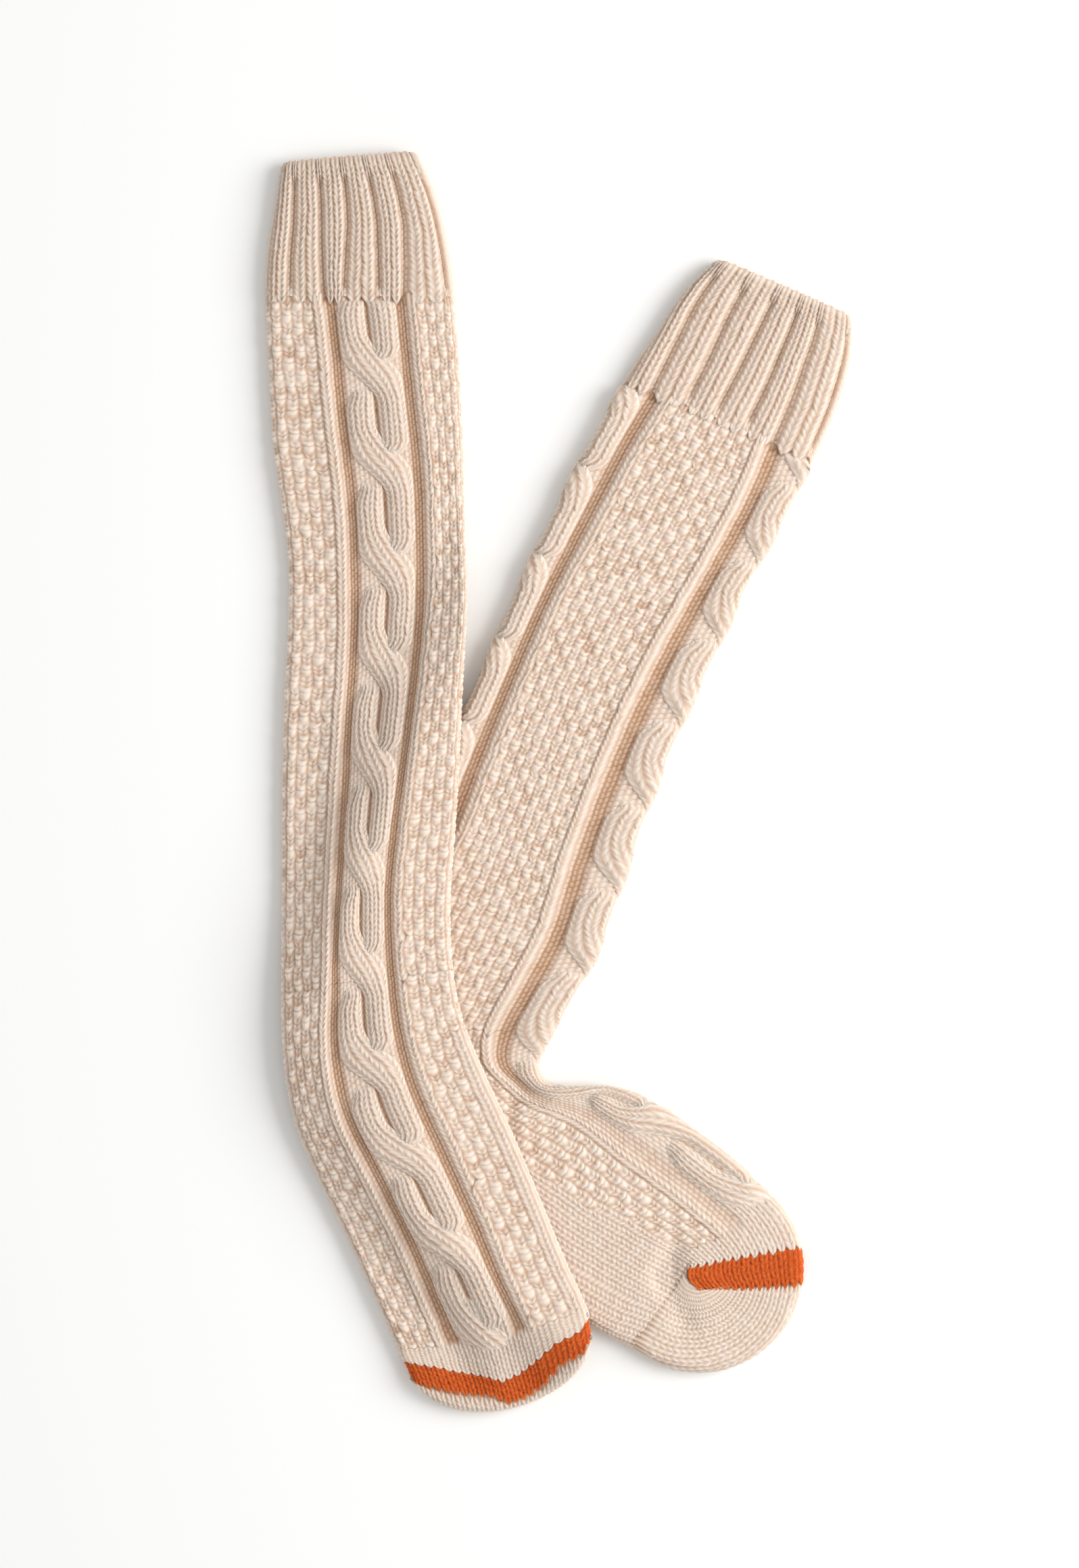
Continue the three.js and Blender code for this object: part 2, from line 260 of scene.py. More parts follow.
def stitchTable():
    # Relief of each kind of stitch in millimetres, at each quarter across it and along it.
    x, y = np.meshgrid(np.arange(grain) / grain, np.arange(grain) / grain, indexing="ij")
    legs = np.abs(np.sin(2 * np.pi * x))
    lump = np.sin(np.pi * y)
    tables = [
        -1.15 + 0.3 * np.sin(np.pi * x) + legs * (0.6 + 0.85 * lump**0.8),
        -0.85 + 0.15 * np.sin(np.pi * x) + legs * (0.4 + 0.75 * lump**0.8),
        -0.75 + legs * (0.15 + 0.65 * np.abs(np.sin(np.pi * (y + 0.5 * (x > 0.5))))),
    ]
    for low in (False, True):
        for shift in (0, 1):
            long = np.sin(np.pi * (y + shift) / 2) ** 0.6 * (0.78 + 0.22 * lump)
            wide = 0.5 + 0.75 * legs if low else 1.6 * np.sin(np.pi * x) ** 0.7 + 0.15 * legs
            tables.append((-1.2 if low else -1.1) + long * wide)
    return np.array(tables)


kindTable = stitchTable()
toeTurn = 0.52  # turn round the toe outline, in radians, for one section past the toe line


def smoothStep(x, low, high):
    x = np.clip((np.asarray(x, float) - low) / (high - low), 0, 1)
    return x * x * (3 - 2 * x)


def blend(a, b, share):
    return a + (b - a) * np.asarray(share)[..., None]


def distance(a, b):
    return np.linalg.norm(b - a, axis=-1)


def curveThrough(points, t):
    # A smooth curve through points, at place t, where 0 is the first point and 1 the second.
    last = len(points) - 1
    guides = np.vstack([2 * points[0] - points[1], points, 2 * points[-1] - points[-2]])
    i = np.clip(np.floor(t).astype(int), 0, last - 1)
    x = (t - i)[..., None]
    a, b, c, d = guides[i], guides[i + 1], guides[i + 2], guides[i + 3]
    return 0.5 * (2 * b + (c - a) * x + (2 * a - 5 * b + 4 * c - d) * x**2 + (3 * b - a - 3 * c + d) * x**3)


def between(table, i, j, x, y):
    # The value at shares x and y of the way from cell i, j to the next ones.
    near = table[i, j] * (1 - x) + table[i + 1, j] * x
    far = table[i, j + 1] * (1 - x) + table[i + 1, j + 1] * x
    return near * (1 - y) + far * y


class PlanField:
    # A value for every place on the floor, read smoothly between its one-millimetre cells.
    def __init__(self, values, corner):
        self.values = values
        self.corner = np.asarray(corner, float)

    def at(self, plan):
        spot = plan - self.corner
        cell = np.clip(np.floor(spot).astype(int), 0, np.array(self.values.shape) - 2)
        x, y = np.moveaxis(np.clip(spot - cell, 0, 1), -1, 0)
        return between(self.values, cell[..., 0], cell[..., 1], x, y)


def distanceField(loop, margin=50):
    # Distance from a closed outline, negative inside it.
    corner = np.floor(loop.min(0)) - margin
    size = (np.ceil(loop.max(0)) + margin - corner).astype(int)
    xs, ys = corner[0] + np.arange(size[0]), corner[1] + np.arange(size[1])
    grid = np.stack(np.meshgrid(xs, ys, indexing="ij"), -1).reshape(-1, 2)
    best = np.full(len(grid), 1e9)
    inside = np.zeros(len(grid), bool)
    for a, b in zip(loop, np.roll(loop, -1, 0)):
        run = b - a
        along = np.clip((grid - a) @ run / (run @ run), 0, 1)
        best = np.minimum(best, ((grid - a - along[:, None] * run) ** 2).sum(1))
        if a[1] != b[1]:
            crosses = (a[1] > grid[:, 1]) != (b[1] > grid[:, 1])
            x = a[0] + (b[0] - a[0]) * (grid[:, 1] - a[1]) / (b[1] - a[1])
            inside ^= crosses & (grid[:, 0] < x)
    signed = np.where(inside, -1, 1) * np.sqrt(best)
    return PlanField(signed.reshape(size), corner)


def toeAxes(sock):
    # The toe line: its left end, the directions across and ahead, and its length.
    left, right = sock["left"][-1], sock["right"][-1]
    width = distance(left, right)
    across = (right - left) / width
    return left, across, np.array([across[1], -across[0]]), width


def toeOutline(sock, angle):
    # The rounded front of the sock; angle 0 is the left end of the toe line and pi the right end.
    left, across, ahead, width = toeAxes(sock)
    a = width / 2 * (1 - np.cos(angle))[..., None]
    return left + across * a + ahead * (sock["toeReach"] * np.sin(angle))[..., None]


def outlineEdge(sock, t, side):
    # The left or right outline; past the toe line it goes on round the toe.
    last = len(sock["left"]) - 1
    turn = np.maximum(t - last, 0) * toeTurn
    turned = turn if side == "left" else np.pi - turn
    straight = curveThrough(sock[side], np.minimum(t, last))
    return np.where((t > last)[..., None], toeOutline(sock, turned), straight)


def edgesAt(sock, t):
    # The left and right ends of the row line at section t.
    right = t
    if "rightEdge" in sock:
        places = np.array([(sock["evenTo"], sock["evenTo"])] + sock["rightEdge"])
        pace = (places[-1, 1] - places[-2, 1]) / (places[-1, 0] - places[-2, 0])
        past = places[-1, 1] + (t - places[-1, 0]) * pace
        right = np.where(t > places[0, 0], np.interp(t, places[:, 0], places[:, 1]), t)
        right = np.where(t > places[-1, 0], past, right)
    return outlineEdge(sock, t, "left"), outlineEdge(sock, right, "right")


def outlineOf(sock):
    t = np.linspace(0, len(sock["left"]) - 1, 90)
    tip = toeOutline(sock, np.linspace(0, np.pi, 26)[1:-1])
    return np.vstack([outlineEdge(sock, t, "left"), tip, outlineEdge(sock, t, "right")[::-1]])


def prepare(sock):
    # Works out the outline, the rows and the wales from the sock's tables.
    table = np.array([row[1:] for row in sock["sections"]], float)
    names = [row[0] for row in sock["sections"]]
    sock["left"], sock["right"] = table[:, :2], table[:, 2:]
    sock["cuffEnd"], sock["legEnd"] = names.index("cuffEnd"), names.index("legEnd")
    sock["outline"] = distanceField(outlineOf(sock))
    # rows and the sections they are at
    t = np.linspace(0, sock["evenTo"], 1200)
    line = blend(*edgesAt(sock, t), np.full(t.shape, sock["rowLine"]))
    length = np.r_[0, np.cumsum(distance(line[:-1], line[1:]))]
    rows = (length - np.interp(sock["cuffEnd"], t, length)) / clothForm["rowHeight"]
    rows *= round(rows[-1]) / rows[-1]
    for section, count in sock["furtherRows"]:
        t, rows = np.r_[t, section], np.r_[rows, rows[-1] + count]
    sock["rowTable"] = (rows, t)
    # wales and their places round the tube
    lanes = np.array(sock["lanes"], float)
    fine = np.linspace(0, lanes[-1, 0], 400)
    kernel = np.hanning(25) / np.hanning(25).sum()
    smooth = []
    for column in lanes.T[1:]:
        padded = np.pad(np.interp(fine, lanes[:, 0], column), 12, "edge")
        smooth.append(np.convolve(padded, kernel, "valid"))
    sock["laneTimes"], sock["laneTable"] = fine, np.stack(smooth)
    plainFrom = rowOf(sock, sock["stripe"][0]) - sock["plainRows"]
    relaxRows = clothForm["relaxRows"]
    sock["relaxes"] = (sectionOf(sock, plainFrom - relaxRows), sectionOf(sock, plainFrom + relaxRows))


def sectionOf(sock, row):
    # Rows are counted from the end of the cuff; a little past the last they go on at its pace.
    rows, t = sock["rowTable"]
    pace = (t[-1] - t[-2]) / (rows[-1] - rows[-2])
    return np.interp(row, rows, t) + np.maximum(row - rows[-1], 0) * pace


def rowOf(sock, section):
    rows, t = sock["rowTable"]
    return int(round(float(np.interp(section, t, rows))))


for sock in (lowerSock, upperSock):
    prepare(sock)
    print(sock["name"], "sock laid out,", rowOf(sock, sock["stripe"][1]), "rows from cuff to toe")
upperSock["liesOn"] = lowerSock["outline"]
lowerSock["liesUnder"] = upperSock["outline"]


def restHeight(sock, plan):
    # Height of what a sock lies on: the floor, or the other sock with a ramp down from it.
    if "liesOn" not in sock:
        return np.zeros(plan.shape[:-1])
    top = clothForm["edgeHeight"] + clothForm["crown"] + clothForm["restGap"]
    away = np.maximum(sock["liesOn"].at(plan), 0) - clothForm["ledge"]
    return top * (1 - smoothStep(away, 0, clothForm["rampWidth"]))


def panelHeight(sock, plan, side, fade):
    # Height of the top panel above what the sock lies on, with its crown and folds.
    lift = 0
    for x0, y0, x1, y1, spread, height in sock["folds"]:
        start, run = np.array([x0, y0], float), np.array([x1 - x0, y1 - y0], float)
        along = np.clip((plan - start) @ run / (run @ run), 0, 1)
        away = distance(start + along[..., None] * run, plan)
        lift = lift + height * np.exp(-((away / spread) ** 2))
    raised = (clothForm["crown"] * (1 - side**2) + lift * (1 - side**4)) * fade
    return np.maximum(clothForm["leastHeight"], clothForm["edgeHeight"] + raised)


def settle(sock, plan, side, rise, top, rounded=True):
    # Heights of places in plan. Towards the front of the toe the top panel comes down.
    left, across, ahead, width = toeAxes(sock)
    offset = 2 * ((plan - left) @ across) / width - 1
    reach = sock["toeReach"] * np.sqrt(np.clip(1 - offset**2, 0, 1))
    forward = (plan - left) @ ahead
    rim = np.maximum(np.minimum(reach, middle * rise), 1e-6)
    fade = 1 - np.clip(forward / np.maximum(reach - rim, 1e-6), 0, 1) ** 2
    front = 1.0
    if rounded and sock is upperSock:
        short = np.clip((rim - (reach - forward)) / rim, 0, 1)
        front = np.where(forward > 0, np.sqrt(1 - short**2), 1)
    rest = restHeight(sock, plan)
    high = rest + middle + (panelHeight(sock, plan, side, fade) - middle) * rise * front
    low = rest + middle - middle * rise
    place = np.concatenate([plan, np.where(top, high, low)[..., None]], -1)
    return {"place": place, "rest": rest, "top": top, "rise": rise}


def placeAcross(share, width):
    # Share 0 to 1 of the way over a panel gives the distance from its left edge in plan, and the rise.
    whole = width - 2 * middle + 2 * quarterArc
    fromLeft, fromRight = share * whole / middle, (1 - share) * whole / middle
    quarter = np.pi / 2
    rise = np.sin(np.clip(np.minimum(fromLeft, fromRight), 0, quarter))
    a = share * whole - quarterArc + middle
    a = np.where(fromLeft < quarter, middle * (1 - np.cos(np.maximum(fromLeft, 0))), a)
    a = np.where(fromRight < quarter, width - middle * (1 - np.cos(np.maximum(fromRight, 0))), a)
    return a, rise


def lanesAt(sock, wale, t):
    # The place round the tube of a wale, from the lane table.
    turn = np.floor(wale / tubeWales)
    w = wale - tubeWales * turn
    centre = np.round(w / halfTube) * halfTube
    away = np.abs(w - centre)
    drawn = np.interp(away, patternRelief["drawnWales"], patternRelief["drawnTo"])
    if "opens" in sock:
        drawnOpen = np.interp(away, patternRelief["drawnWales"], patternRelief["openTo"])
        drawn = drawn + (drawnOpen - drawn) * smoothStep(t, *sock["opens"])
    drawn = away + (drawn - away) * (1 - smoothStep(t, *sock["relaxes"]))
    w = centre + np.sign(w - centre) * np.where(away < laneWales, drawn, away)
    spot = np.interp(t, sock["laneTimes"], np.arange(len(sock["laneTimes"])))
    i = np.clip(np.floor(spot).astype(int), 0, len(sock["laneTimes"]) - 2)
    x = spot - i
    k = np.clip(np.floor(w / laneWales).astype(int), 0, len(sock["laneTable"]) - 2)
    return between(sock["laneTable"], k, i, w / laneWales - k, x) + turn


def kneesAt(sock, t):
    # Where each row turns, on the top panel and on the underside.
    start = np.array([sock["evenTo"]])
    knees = []
    for wale in (leftWale, rightWale):
        q = lanesAt(sock, np.array([wale]), start)
        share = 2 * q if wale < halfTube else 2 - 2 * q
        from0, to0 = edgesAt(sock, start)
        a = placeAcross(share, distance(from0, to0))[0]
        first = blend(from0, to0, a / distance(from0, to0))[0]
        table = np.array([(sock["evenTo"], *first)] + sock["knee"])
        pace = (table[-1] - table[-2]) / (table[-1, 0] - table[-2, 0])
        x, y = (np.interp(t, table[:, 0], table[:, c]) for c in (1, 2))
        past = np.maximum(t - table[-1, 0], 0)
        through = np.clip((t - table[1, 0]) / (table[2, 0] - table[1, 0]), 0, 1)
        x = x + past * pace[1] - sock["kneeBulge"] * (1 - (2 * through - 1) ** 2)
        knees.append(np.stack([x, y + past * pace[2]], -1))
    return knees


def tubePlace(sock, wale, row):
    # A place on the plain form from a wale number and a row number.
    wale, row = np.broadcast_arrays(np.asarray(wale, float), np.asarray(row, float))
    t = sectionOf(sock, row)
    return ringPlace(sock, t, lanesAt(sock, wale, t))


def ringPlace(sock, t, q):
    # The same from the section and the place round the tube, where 0 is the left edge.
    t, q = np.broadcast_arrays(np.asarray(t, float), np.asarray(q, float))
    left, right = edgesAt(sock, t)
    q = q % 1
    top = q <= 0.5
    width = distance(left, right)
    if "knee" in sock:
        bent = t > sock["evenTo"]
        bends = []
        for knee, here, wale in zip(kneesAt(sock, t), (top, ~top), (leftWale, rightWale)):
            toKnee, fromKnee = distance(left, knee), distance(knee, right)
            bends.append((knee, bent & here, toKnee, fromKnee))
            whole = toKnee + fromKnee
            share = (toKnee - middle + quarterArc) / (whole - 2 * middle + 2 * quarterArc)
            turning = share / 2 if wale < halfTube else 1 - share / 2
            tabled = lanesAt(sock, np.full(t.shape, wale), t)
            edge = 0.0 if wale < halfTube else 1.0
            onLeft = (q < tabled) if wale < halfTube else (q > tabled)
            leftPart = edge + (q - edge) * (turning - edge) / (tabled - edge)
            rightPart = 0.5 + (q - 0.5) * (turning - 0.5) / (tabled - 0.5)
            q = np.where(bent & here, np.where(onLeft, leftPart, rightPart), q)
            width = np.where(bent & here, whole, width)
    a, rise = placeAcross(np.where(top, 2 * q, 2 - 2 * q), width)
    plan = blend(left, right, a / distance(left, right))
    if "knee" in sock:
        for knee, here, toKnee, fromKnee in bends:
            before = blend(left, knee, a / toKnee)
            after = blend(knee, right, (a - toKnee) / fromKnee)
            plan = np.where(here[..., None], np.where((a < toKnee)[..., None], before, after), plan)
    if "bow" in sock:
        bow, off = sock["bow"], a / width
        first = np.interp(off, bow["across"], bow["stripeStart"])
        second = np.interp(off, bow["across"], bow["stripeEnd"])
        toStart = np.interp(t, bow["sections"][:3], [0, bow["patternShare"], 1])
        toEnd = np.clip((t - bow["sections"][2]) / (bow["sections"][3] - bow["sections"][2]), 0, 1.4)
        across = (right - left) / width[..., None]
        ahead = np.stack([across[..., 1], -across[..., 0]], -1)
        plan = plan + ahead * (toStart * (first + (second - first) * toEnd) * top)[..., None]
    side = np.clip((a - width / 2) / (width / 2 - middle), -1, 1)
    return settle(sock, plan, side, rise, top)


def stitchGrid(kinds, wrap, leanEnds=(False, False)):
    # Wale and row number of every point of a grid of stitches; kinds is wale by row.
    wales, rows = kinds.shape
    u = np.arange(grain * wales + (0 if wrap else 1)) / grain
    v = np.arange(grain * rows + 1) / grain
    centres = np.arange(rows) + 0.5
    leans = kindLean[kinds]
    for r in range(1, rows):
        leans[:, r] = np.maximum(leans[:, r], leans[:, r - 1] - 0.6)
    lean = np.zeros((len(v), len(u)))
    for column, place in enumerate(u):
        w = min(int(place), wales - 1)
        quarter = int(round(place * grain)) % grain
        lean[:, column] = np.interp(v, centres, leans[w]) * leanAcross[quarter]
    free = [np.ones(len(v)) if leanEnds[0] else v, np.ones(len(v)) if leanEnds[1] else (rows - v) / 1.6]
    lean *= np.minimum(1, np.minimum(*free))[:, None]
    settled = smoothStep(v, 0, 1.5) * smoothStep(rows - v, 0, 1.5)
    shifts = [wobble(kinds, wrap) * settled[:, None] for _ in range(2)]
    if not wrap:
        shifts[0] = shifts[0] * (smoothStep(u, 0, 1) * smoothStep(wales - u, 0, 1))[None, :]
    return u[None, :] + shifts[0], v[:, None] + lean + shifts[1]


# How uneven the hand-made stitches are: sideways in wales or rows, and up and down in millimetres.
unevenness = {
    "mossShift": 0.09,
    "otherShift": 0.035,
    "height": 0.07,
}


def wobble(kinds, wrap):
    # Small random shifts of the corners of the stitches, shared out over the points between.
    wales, rows = kinds.shape
    amounts = np.where(kinds >= highFirst, unevenness["mossShift"], unevenness["otherShift"])
    amounts = np.pad(amounts, ((0, 1), (0, 1)), "edge").T
    nodes = random.normal(0, 1, amounts.shape) * amounts
    if wrap:
        nodes[:, -1] = nodes[:, 0]
    u, v = np.arange(grain * wales + (0 if wrap else 1)) / grain, np.arange(grain * rows + 1) / grain
    i, j = np.minimum(u.astype(int), wales - 1)[None, :], np.minimum(v.astype(int), rows - 1)[:, None]
    return between(nodes.T, i, j, u[None, :] - i, v[:, None] - j)


def cellCorners(wales, rows, wrap):
    # For each point of the grid, the stitches that meet there.
    i, j = np.arange(grain * wales + (0 if wrap else 1)), np.arange(grain * rows + 1)
    w, r = np.minimum(i // grain, wales - 1), np.minimum(j // grain, rows - 1)
    before = np.where(i % grain == 0, w - 1, w)
    before = before % wales if wrap else np.maximum(before, 0)
    above = np.where(j % grain == 0, np.maximum(r - 1, 0), r)
    return i % grain, j % grain, [(w, r), (before, r), (w, above), (before, above)]


def spread(cells, wrap):
    # One value a stitch, shared out over the points of the grid.
    _, _, corners = cellCorners(*cells.shape, wrap)
    return sum(cells[w[None, :], r[:, None]] for w, r in corners) / 4


def stitchHeights(kinds, wrap):
    # Relief of the stitches at every point of their grid, a little uneven from one to the next.
    wide, along, corners = cellCorners(*kinds.shape, wrap)
    rough = random.normal(0, unevenness["height"], kinds.shape) * np.where(kinds >= highFirst, 2, 1)
    total = 0
    for w, r in corners:
        here = kinds[w[None, :], r[:, None]]
        total = total + kindTable[here, wide[None, :], along[:, None]] + rough[w[None, :], r[:, None]]
    return total / 4


def surfaceAt(placeAt, u, v, step=0.2):
    # Places on a plain form and the directions outward from it.
    base = placeAt(u, v)
    across = placeAt(u + step, v)["place"] - placeAt(u - step, v)["place"]
    along = placeAt(u, v + step)["place"] - placeAt(u, v - step)["place"]
    normal = np.cross(along, across)
    pace = np.linalg.norm(along, axis=-1) / (2 * step * clothForm["rowHeight"])
    base["room"] = smoothStep(pace, 0, 0.75)
    normal = normal / np.maximum(np.linalg.norm(normal, axis=-1, keepdims=True), 1e-9)
    # Where the rows run together the direction is simply up, or down on the underside.
    upright = np.zeros(normal.shape)
    upright[..., 2] = np.where(base["top"], 1, -1)
    base["normal"] = blend(upright, normal, smoothStep(pace, 0.15, 0.6))
    return base


pressPlan = {
    "flattened": 0.4,  # share of the relief lost where the cloth lies on something or is covered
    "sunk": 0.35,  # how much further in it lies there
    "coveredFrom": (1.5, 9),  # distances inside the other sock's outline over which it is pressed down
    "headroom": 0.2,  # of the lower sock under the upper one
    "freeHeadroom": 5,
    "edgeRelief": 0.45,  # share of the relief kept at the outline
}


def dress(sock, base, relief):
    # Moves the plain form out by the relief of the knitting, pressed flat where the cloth lies.
    normal = base["normal"]
    inner = smoothStep(base["rise"], 0.55, 1.0)
    pressed = np.where(base["top"], 0, inner)
    ceiling = np.full(base["rise"].shape, 1e3)
    if "liesUnder" in sock:
        inside = -sock["liesUnder"].at(base["place"][..., :2])
        covered = smoothStep(inside, *pressPlan["coveredFrom"]) * base["top"] * inner
        pressed = np.maximum(pressed, covered)
        ceiling = clothForm["edgeHeight"] + clothForm["crown"] + pressPlan["headroom"]
        ceiling = ceiling + pressPlan["freeHeadroom"] * (1 - covered)
    facing = pressPlan["edgeRelief"] + (1 - pressPlan["edgeRelief"]) * smoothStep(base["rise"], 0.05, 0.75)
    moved = relief * (1 - pressPlan["flattened"] * pressed) * facing * base["room"]
    moved = moved - clothForm["sink"] - pressPlan["sunk"] * pressed
    place = base["place"] + normal * moved[..., None]
    place[..., 2] = np.clip(place[..., 2], base["rest"] + clothForm["floorGap"], ceiling)
    return place


def innerOf(base):
    return (base["place"] - base["normal"] * clothForm["innerDepth"])[::grain, ::grain]


# How the painted shade in the hollows and gutters follows the relief: where it begins, over what depth, and
# how strong.
paintedShadePlan = {
    "stitches": (-0.15, 1.1, 0.85),
    "gutters": (-0.6, 1.6, 0.6),
    "inside": 0.4,  # painted shade on the inside of the cloth, all over
}


def marksOf(stitches, lift=0.0):
    # How much painted shade each point gets from how deep in a hollow it lies, and a tone for each stitch.
    rows, columns = (np.arange(n) // grain for n in stitches.shape)
    tones = random.uniform(0, 1, (rows[-1] + 1, columns[-1] + 1))
    paintedShade = 0
    for height, kind in ((stitches, "stitches"), (lift, "gutters")):
        level, depth, strength = paintedShadePlan[kind]
        paintedShade = paintedShade + strength * np.clip((level - height) / depth, 0, 1)
    return {"paintedShade": np.clip(paintedShade, 0, 1), "tone": tones[rows[:, None], columns[None, :]]}


def rowNumbers(rows):
    # The row number of each point along a piece, as a column.
    return (np.arange(grain * rows + 1) / grain)[:, None]


def gridFaces(index, wrap, reverse):
    a, b = index[:-1], index[1:]
    if wrap:
        a2, b2 = np.roll(a, -1, 1), np.roll(b, -1, 1)
    else:
        a, a2, b, b2 = a[:, :-1], a[:, 1:], b[:, :-1], b[:, 1:]
    quads = np.stack([a, a2, b2, b], -1).reshape(-1, 4)
    return quads[:, ::-1] if reverse else quads


def shellOf(outer, inner, marks, wrap):
    # A closed thin wall: the knitted face, an inside with one face to a stitch, and the rims between.
    rows, columns = outer.shape[:2]
    outerIndex = np.arange(rows * columns).reshape(rows, columns)
    innerIndex = rows * columns + np.arange(inner.shape[0] * inner.shape[1]).reshape(inner.shape[:2])
    faces = [gridFaces(outerIndex, wrap, True), gridFaces(innerIndex, wrap, False)]

    def rim(fine, coarse, closed, reverse):
        k = np.arange(len(coarse) if closed else len(coarse) - 1)
        ring = [fine[(grain * k + j) % len(fine)] for j in range(grain + 1)]
        side = np.stack(ring + [coarse[(k + 1) % len(coarse)], coarse[k]], -1)
        return side[:, ::-1] if reverse else side

    faces.append(rim(outerIndex[0], innerIndex[0], wrap, False))
    faces.append(rim(outerIndex[-1], innerIndex[-1], wrap, True))
    if not wrap:
        faces.append(rim(outerIndex[:, 0], innerIndex[:, 0], False, True))
        faces.append(rim(outerIndex[:, -1], innerIndex[:, -1], False, False))
    points = np.vstack([outer.reshape(-1, 3), inner.reshape(-1, 3)])
    # Every point of the inside gets the same marks, which give it painted shade all over.
    filled = {m: np.r_[v.ravel(), np.full(innerIndex.size, paintedShadePlan["inside"])] for m, v in marks.items()}
    return points, faces, filled


def openShell(sock, spotAt, u, v, relief):
    # The shell of a piece that does not go all the way round.
    base = surfaceAt(spotAt, u, v)
    return shellOf(dress(sock, base, relief), innerOf(base), marksOf(relief), False)


def makePiece(name, shells):
    # Joins shells, whose points are in millimetres, into one mesh object.
    offset, allPoints, corners, sizes = 0, [], [], []
    for points, faces, _ in shells:
        allPoints.append(points)
        for f in faces:
            corners.append((f + offset).ravel())
            sizes.append(np.full(len(f), f.shape[1]))
        offset += len(points)
    corners, sizes = np.concatenate(corners), np.concatenate(sizes)
    starts = np.r_[0, np.cumsum(sizes)[:-1]]
    mesh = bpy.data.meshes.new(name)
    mesh.vertices.add(offset)
    mesh.vertices.foreach_set("co", (np.vstack(allPoints) * mm).astype(np.float32).ravel())
    mesh.loops.add(len(corners))
    mesh.loops.foreach_set("vertex_index", corners.astype(np.int32))
    mesh.polygons.add(len(sizes))
    mesh.polygons.foreach_set("loop_start", starts.astype(np.int32))
    mesh.polygons.foreach_set("loop_total", sizes.astype(np.int32))
    for mark in shells[0][2]:
        layer = mesh.attributes.new(mark, "FLOAT", "POINT")
        layer.data.foreach_set("value", np.concatenate([s[2][mark] for s in shells]).astype(np.float32))
    mesh.update(calc_edges=True)
    mesh.polygons.foreach_set("use_smooth", sizes == 4)
    piece = bpy.data.objects.new(name, mesh)
    bpy.context.collection.objects.link(piece)
    return piece


# Lift of the leg's pattern, by wales from a cable's centre to the moss beside it.
patternRelief = {
    "wales": [0, 0.5, 1.0, 2.9, 3.4, 4.6, 5.05, 5.5, 5.9, 6.3, 6.8],
    "lift": [-1.7, -1.5, -0.6, -0.7, -2.0, -2.0, -0.3, 0.85, 0.6, 0.15, 0],
    "gutterHalf": 5,
    "ribEnd": 6,
    "cableHalf": 3.5,
    "cableEndRows": 7,  # the ground under the cable's end is plain this much sooner
    "drawnWales": [0, 3, 5, 5.5],  # the gutters beside a cable are drawn in
    "drawnTo": [0, 3.3, 4.85, 5.5],
    "openTo": [0, 2.7, 4.8, 5.5],  # where the gutters lie open
}


def patternOf(sock, rows):
    # Stitch kind and lift of the tube, wale by row.
    kinds = np.full((tubeWales, rows), knit)
    shown = np.ones((tubeWales, rows))
    row = np.arange(rows)
    section = sectionOf(sock, row + 0.5)
    instepEnd = rowOf(sock, sock["stripe"][0]) - sock["plainRows"]
    begin, end, *narrowing = sock["mossNarrows"]
    narrowed = np.clip((section - begin) / (end - begin), 0, 1)
    for wale in range(tubeWales):
        fromFront = abs(wale + 0.5 - halfTube)
        away = min(fromFront, halfTube - fromFront)
        if away < patternRelief["gutterHalf"]:
            kinds[wale] = purl
        elif away > patternRelief["ribEnd"]:
            high = (wale + row // 2) % 2 == 0
            late = row % 2 == 1
            raised = np.where(late, highLast, highFirst)
            kinds[wale] = np.where(high, raised, np.where(late, lowLast, lowFirst))
        mossEnd = leftWale - narrowing[wale >= halfTube] * narrowed
        bare = (section > sock["soleFrom"]) & (fromFront > mossEnd)
        underCable = away < patternRelief["cableHalf"] and fromFront < leftWale
        early = patternRelief["cableEndRows"] if underCable else 0
        bare |= (row >= instepEnd - early) & (section > sock["soleFrom"])
        kinds[wale][bare] = plain
        shown[wale][bare] = 0
    return kinds, shown


def patternLift(u):
    # The lift of ribs and gutters at wale number u.
    w = u % tubeWales
    away = np.abs(w - np.round(w / halfTube) * halfTube)
    return np.interp(away, patternRelief["wales"], patternRelief["lift"])


def tubeSurface(sock):
    rows = rowOf(sock, sock["stripe"][0])
    kinds, shown = patternOf(sock, rows)
    u, v = stitchGrid(kinds, True, (False, True))
    # The first row is tucked under the cuff.
    tucked = 1 - smoothStep(v, *joinPlan["atCuff"])
    v = v - joinPlan["tuckRows"] * tucked
    # The last row of the sole lies lower, as the toe goes on from it.
    sole = (np.abs(u - halfTube) > leftWale + 0.01) * smoothStep(v, rows - 1, rows)
    if sock is upperSock:
        v = v - sole * np.maximum(v - rowNumbers(rows), 0)
    base = surfaceAt(lambda u, v: tubePlace(sock, u, v), u, v)
    stitches, lift = stitchHeights(kinds, True), patternLift(u) * spread(shown, True)
    if "opens" in sock:
        lift = lift * (1 - 0.5 * smoothStep(sectionOf(sock, v), *sock["opens"]))
    stitches = stitches - joinPlan["cuffTuck"] * tucked - joinPlan["soleDrop"] * sole
    if sock is lowerSock:
        stitches = stitches - joinPlan["tipDrop"] * sole * smoothStep(v - rows, *joinPlan["atTips"])
    outer = dress(sock, base, stitches + lift)
    # The gutters' lift also gives them painted shade.
    return {"outer": outer, "inner": innerOf(base), "marks": marksOf(stitches, lift)}


def sliceOf(surface, first, last):
    # The tube's rows from first to last, as a shell of their own.
    fine = slice(grain * first, grain * last + 1)
    marks = {name: mark[fine] for name, mark in surface["marks"].items()}
    return shellOf(surface["outer"][fine], surface["inner"][first : last + 1], marks, True)


stripePlan = {
    # How much shorter the last stitches of the lower stripe's narrow end are, and over which wales.
    "blunt": 0.7,
    "bluntWales": (1.5, 6),
    "sideLift": 0.5,
    "tipLift": 0.3,
}


